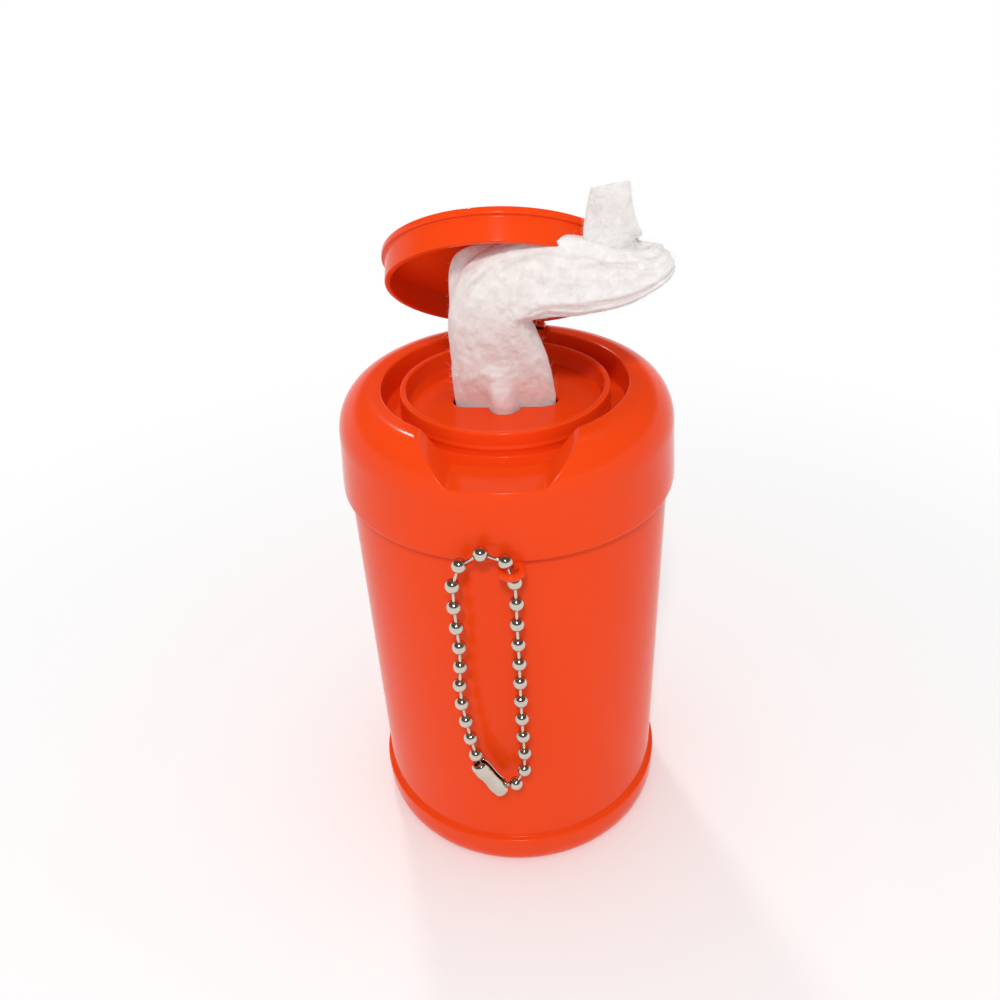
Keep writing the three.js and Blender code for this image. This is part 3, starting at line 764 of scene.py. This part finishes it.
# Stage, light and camera
def seen_by(nodes, links):
    """1 for camera, glossy and transmission rays, 0 for the light that falls on the object."""
    path = nodes.new("ShaderNodeLightPath")
    value = path.outputs["Is Camera Ray"]
    for name in ("Is Glossy Ray", "Is Transmission Ray"):
        more = nodes.new("ShaderNodeMath")
        more.operation = "MAXIMUM"
        links.new(value, more.inputs[0])
        links.new(path.outputs[name], more.inputs[1])
        value = more.outputs["Value"]
    return value


def floor():
    """Paper that keeps the shadow near the object and fades to plain white further out."""
    mesh = bpy.data.meshes.new("floor")
    corners = [(x * FLOOR_SIZE, y * FLOOR_SIZE, -0.0001) for x, y in ((-1, -1), (1, -1), (1, 1), (-1, 1))]
    mesh.from_pydata(corners, [], [(0, 1, 2, 3)])
    made, nodes, links, shader = material("floor_paper")
    shader.inputs["Base Color"].default_value = (0.95, 0.95, 0.95, 1)
    shader.inputs["Roughness"].default_value = 0.9
    shader.inputs["Specular IOR Level"].default_value = 0.1
    place = nodes.new("ShaderNodeNewGeometry")
    far = nodes.new("ShaderNodeVectorMath")
    far.operation = "LENGTH"
    links.new(place.outputs["Position"], far.inputs[0])
    fade = nodes.new("ShaderNodeMapRange")
    fade.interpolation_type = "SMOOTHSTEP"
    fade.inputs["From Min"].default_value = 0.07
    fade.inputs["From Max"].default_value = 0.22
    links.new(far.outputs["Value"], fade.inputs["Value"])
    share = nodes.new("ShaderNodeMath")
    share.operation = "MULTIPLY"
    links.new(seen_by(nodes, links), share.inputs[0])
    links.new(fade.outputs["Result"], share.inputs[1])
    white = node(nodes, "ShaderNodeEmission", Color=(1, 1, 1, 1), Strength=1.0)
    mix = nodes.new("ShaderNodeMixShader")
    links.new(share.outputs["Value"], mix.inputs["Fac"])
    links.new(shader.outputs["BSDF"], mix.inputs[1])
    links.new(white.outputs["Emission"], mix.inputs[2])
    links.new(mix.outputs["Shader"], nodes["Material Output"].inputs["Surface"])
    mesh.materials.append(made)
    obj = bpy.data.objects.new("floor", mesh)
    bpy.context.collection.objects.link(obj)


def lamp(name, place, size, power):
    """A round lamp aimed at the object's middle."""
    data = bpy.data.lights.new(name, "AREA")
    data.shape, data.size, data.energy = "DISK", size, power
    obj = bpy.data.objects.new(name, data)
    obj.location = place
    obj.rotation_euler = (Vector(LAMP_AIM) - Vector(place)).to_track_quat("-Z", "Y").to_euler()
    bpy.context.collection.objects.link(obj)


def sky():
    """Plain soft light. What is seen or mirrored is a white surround that darkens overhead."""
    world = bpy.data.worlds.new("sky")
    bpy.context.scene.world = world
    world.use_nodes = True
    nodes, links = world.node_tree.nodes, world.node_tree.links
    nodes.clear()
    place = nodes.new("ShaderNodeTexCoord")
    part = nodes.new("ShaderNodeSeparateXYZ")
    links.new(place.outputs["Generated"], part.inputs["Vector"])
    ramp = nodes.new("ShaderNodeValToRGB")
    ramp.color_ramp.elements[0].position = 0.18
    ramp.color_ramp.elements[0].color = (1, 1, 1, 1)
    ramp.color_ramp.elements[1].position = 0.34
    ramp.color_ramp.elements[1].color = (0.10, 0.09, 0.08, 1)
    links.new(part.outputs["Z"], ramp.inputs["Fac"])
    soft = node(nodes, "ShaderNodeBackground", Color=(1, 1, 1, 1), Strength=0.68)
    seen = node(nodes, "ShaderNodeBackground", Strength=1.0)
    links.new(ramp.outputs["Color"], seen.inputs["Color"])
    mix = nodes.new("ShaderNodeMixShader")
    links.new(seen_by(nodes, links), mix.inputs["Fac"])
    links.new(soft.outputs["Background"], mix.inputs[1])
    links.new(seen.outputs["Background"], mix.inputs[2])
    out = nodes.new("ShaderNodeOutputWorld")
    links.new(mix.outputs["Shader"], out.inputs["Surface"])


def camera():
    """The photograph's camera, fitted to the object's outlines."""
    pan, tilt, lean = math.radians(CAMERA_PAN), math.radians(CAMERA_TILT), math.radians(CAMERA_LEAN)
    forward = Vector((math.sin(pan) * math.cos(tilt), math.cos(pan) * math.cos(tilt), -math.sin(tilt)))
    right = Vector((math.cos(pan), -math.sin(pan), 0))
    up = right.cross(forward)
    right, up = (
        math.cos(lean) * right + math.sin(lean) * up,
        -math.sin(lean) * right + math.cos(lean) * up,
    )
    data = bpy.data.cameras.new("camera")
    data.lens, data.sensor_width = CAMERA_LENS, 36
    data.clip_start = 0.01
    obj = bpy.data.objects.new("camera", data)
    turn = Matrix((right, up, -forward)).transposed().to_4x4()
    obj.matrix_world = Matrix.Translation(Vector(CAMERA_PLACE) * MM) @ turn
    bpy.context.collection.objects.link(obj)
    bpy.context.scene.camera = obj


floor()
sky()
camera()
lamp("key", (0.0, -0.30, 0.42), 0.05, 0.86)
lamp("rear", (-0.12, 0.34, 0.40), 0.06, 0.4)

bpy.context.scene.view_settings.view_transform = "Standard"
